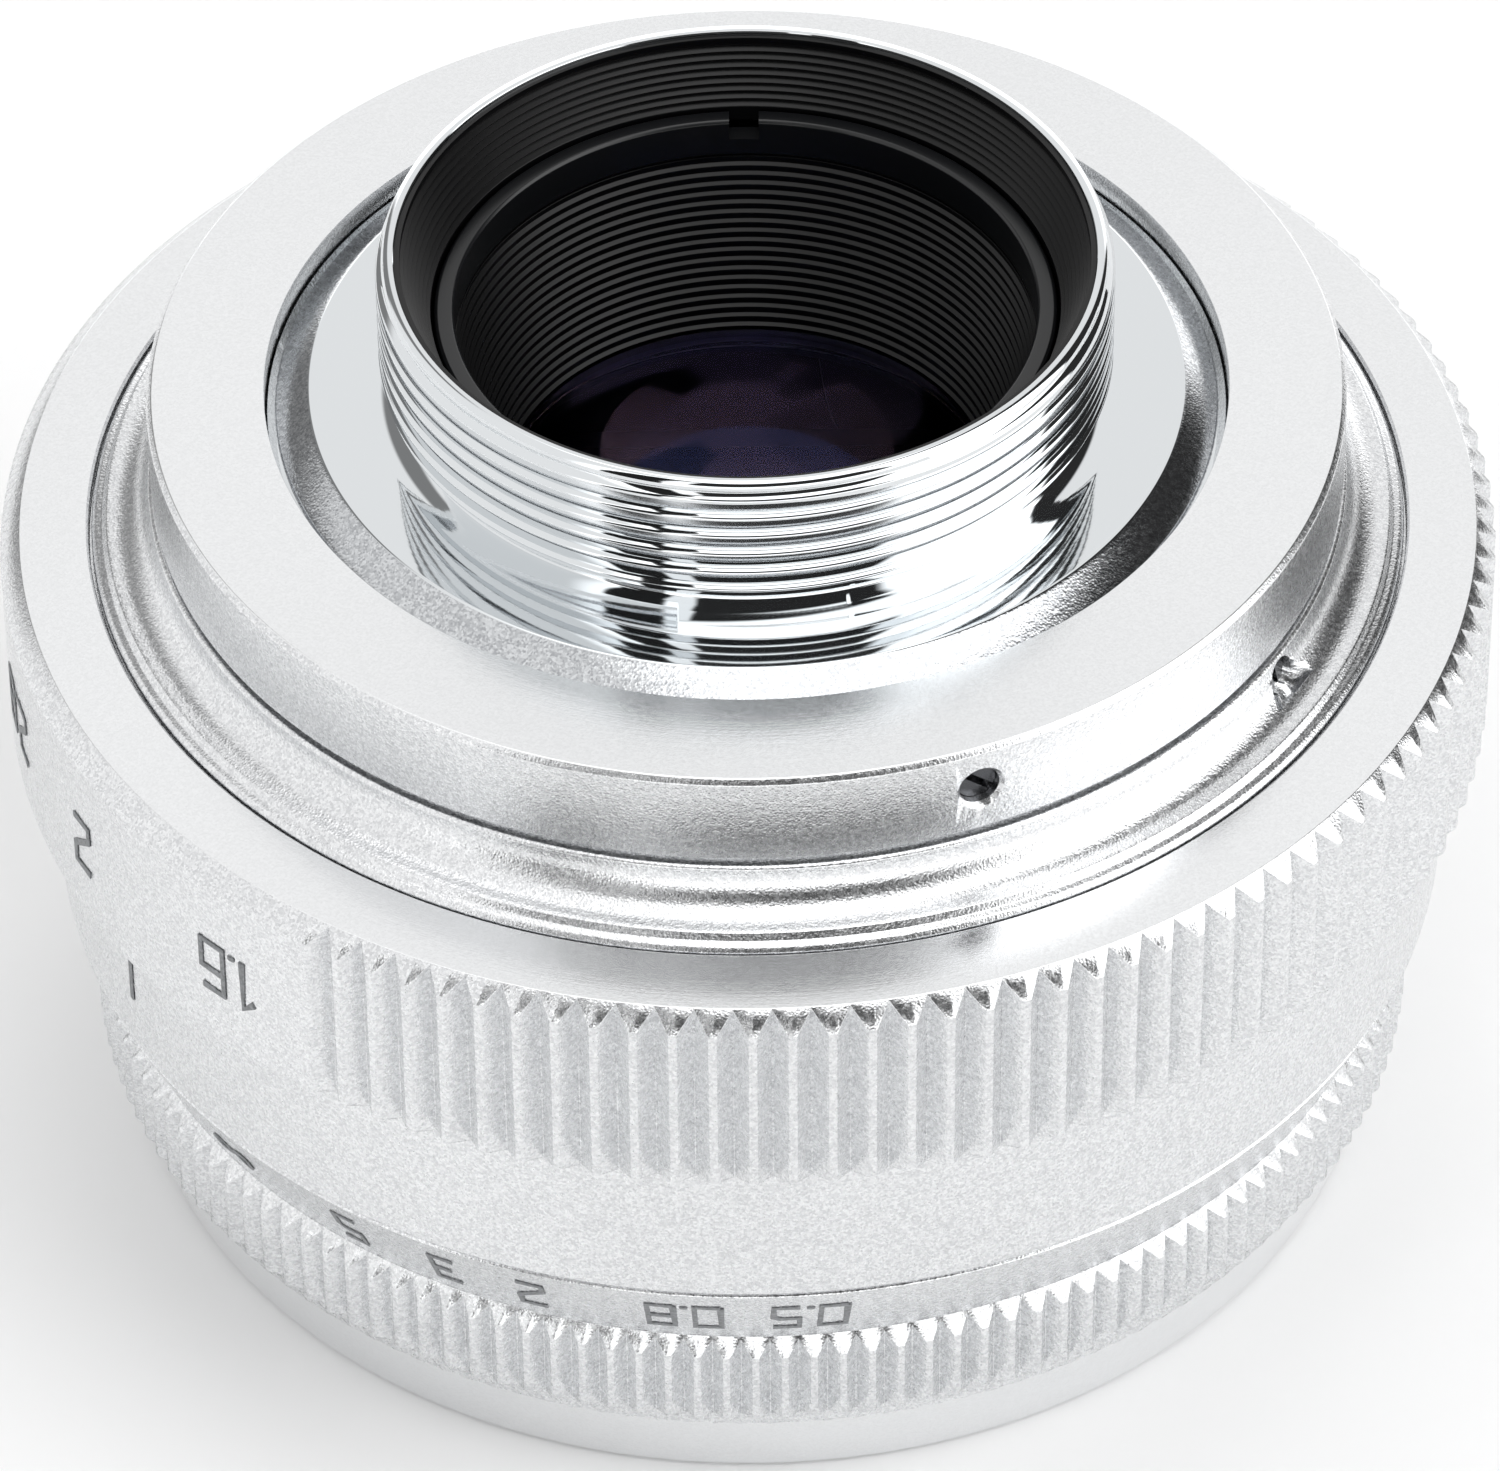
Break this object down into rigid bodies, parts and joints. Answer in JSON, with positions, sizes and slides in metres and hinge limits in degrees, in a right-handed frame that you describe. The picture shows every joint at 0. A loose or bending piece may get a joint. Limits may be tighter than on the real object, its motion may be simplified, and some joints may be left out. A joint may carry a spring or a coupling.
{
  "type": "prime camera lens",
  "caption": "Manual prime lens in satin silver aluminium with a screw mount, ribbed aperture and focus rings, an iris and coated glass",
  "frame": {"origin": "centre of the front rim, on the plane that the lens stands on", "axes": "+Z is the optical axis towards the rear mount; -Y is the side that carries the visible distance scale; +X is to its right seen from outside"},
  "size_m": [0.0524, 0.0524, 0.0366],
  "materials": {
    "satin_aluminium": "bead-blasted and clear anodised",
    "chrome_plate": "bright chrome plate on turned brass",
    "black_anodised": "black anodised",
    "black_steel": "oil blackened",
    "spring_steel": "bright",
    "blade_steel": "blued matt",
    "brass": "turned, greased",
    "coated_glass": "polished with an anti-reflection coating"
  },
  "bodies": {
    "barrel": {"mount_ring": "chrome_plate", "mount_set_screws": "black_steel", "rear_barrel": "satin_aluminium", "rear_baffle": "black_anodised", "rear_collar": "satin_aluminium", "collar_set_screws": "black_steel", "main_barrel": "satin_aluminium", "guide_key": "black_steel"},
    "aperture_ring": {"aperture_ring": "satin_aluminium", "aperture_drive_pin": "brass"},
    "focus_ring": {"focus_ring": "satin_aluminium", "helicoid_sleeve": "brass", "helicoid_screws": "black_steel"},
    "optical_block": {"inner_barrel": "black_anodised", "focus_circlip": "spring_steel", "filter_ring": "black_anodised", "name_ring": "black_anodised", "front_cell": "black_anodised", "front_retaining_ring": "black_anodised", "front_element": "coated_glass", "front_spacer": "black_anodised", "second_element": "coated_glass", "second_spacer": "black_anodised", "third_element": "coated_glass", "iris_plate": "black_anodised", "rear_cell": "black_anodised", "rear_cell_screws": "black_steel", "doublet_front_element": "coated_glass", "doublet_rear_element": "coated_glass", "rear_spacer": "black_anodised", "rear_element": "coated_glass", "rear_light_trap": "black_anodised", "rear_retaining_ring": "black_anodised"},
    "iris_drive": {"iris_drive_ring": "black_anodised"},
    "blade_1": {"iris_blade_1": "blade_steel"},
    "blade_2": {"iris_blade_2": "blade_steel"},
    "blade_3": {"iris_blade_3": "blade_steel"},
    "blade_4": {"iris_blade_4": "blade_steel"},
    "blade_5": {"iris_blade_5": "blade_steel"},
    "blade_6": {"iris_blade_6": "blade_steel"},
    "blade_7": {"iris_blade_7": "blade_steel"},
    "blade_8": {"iris_blade_8": "blade_steel"}
  },
  "joints": [
    {"name": "aperture_turn", "type": "hinge", "parent": "barrel", "child": "aperture_ring", "pos_m": [0, 0, 0.0211], "axis": [0, 0, 1], "range_deg": [-18.4, 75.6]},
    {"name": "focus_slide", "type": "slide", "parent": "barrel", "child": "optical_block", "axis": [0, 0, -1], "range_m": [0, 0.0026]},
    {"name": "focus_turn", "type": "hinge", "parent": "optical_block", "child": "focus_ring", "pos_m": [0, 0, 0.005], "axis": [0, 0, -1], "range_deg": [0, 68.2]},
    {"name": "iris_drive_turn", "type": "hinge", "parent": "optical_block", "child": "iris_drive", "pos_m": [0, 0, 0.0172], "axis": [0, 0, 1], "range_deg": [-18.6, 75.8]},
    {"name": "blade_1_swing", "type": "hinge", "parent": "optical_block", "child": "blade_1", "pos_m": [0.0112, 0, 0.0162], "axis": [0, 0, 1], "range_deg": [-7.9, 31.9]},
    {"name": "blade_2_swing", "type": "hinge", "parent": "optical_block", "child": "blade_2", "pos_m": [0.00792, 0.00792, 0.0162], "axis": [0, 0, 1], "range_deg": [-7.9, 31.9]},
    {"name": "blade_3_swing", "type": "hinge", "parent": "optical_block", "child": "blade_3", "pos_m": [0, 0.0112, 0.0162], "axis": [0, 0, 1], "range_deg": [-7.9, 31.9]},
    {"name": "blade_4_swing", "type": "hinge", "parent": "optical_block", "child": "blade_4", "pos_m": [-0.00792, 0.00792, 0.0162], "axis": [0, 0, 1], "range_deg": [-7.9, 31.9]},
    {"name": "blade_5_swing", "type": "hinge", "parent": "optical_block", "child": "blade_5", "pos_m": [-0.0112, 0, 0.0162], "axis": [0, 0, 1], "range_deg": [-7.9, 31.9]},
    {"name": "blade_6_swing", "type": "hinge", "parent": "optical_block", "child": "blade_6", "pos_m": [-0.00792, -0.00792, 0.0162], "axis": [0, 0, 1], "range_deg": [-7.9, 31.9]},
    {"name": "blade_7_swing", "type": "hinge", "parent": "optical_block", "child": "blade_7", "pos_m": [0, -0.0112, 0.0162], "axis": [0, 0, 1], "range_deg": [-7.9, 31.9]},
    {"name": "blade_8_swing", "type": "hinge", "parent": "optical_block", "child": "blade_8", "pos_m": [0.00792, -0.00792, 0.0162], "axis": [0, 0, 1], "range_deg": [-7.9, 31.9]}
  ],
  "couplings": [
    {"joint": "focus_slide", "follows": "focus_turn", "m_per_rad": 0.0021811},
    {"joint": "iris_drive_turn", "follows": "aperture_turn", "ratio": 1},
    {"joint": "blade_1_swing", "follows": "aperture_turn", "ratio": 0.41915},
    {"joint": "blade_2_swing", "follows": "aperture_turn", "ratio": 0.41915},
    {"joint": "blade_3_swing", "follows": "aperture_turn", "ratio": 0.41915},
    {"joint": "blade_4_swing", "follows": "aperture_turn", "ratio": 0.41915},
    {"joint": "blade_5_swing", "follows": "aperture_turn", "ratio": 0.41915},
    {"joint": "blade_6_swing", "follows": "aperture_turn", "ratio": 0.41915},
    {"joint": "blade_7_swing", "follows": "aperture_turn", "ratio": 0.41915},
    {"joint": "blade_8_swing", "follows": "aperture_turn", "ratio": 0.41915}
  ]
}
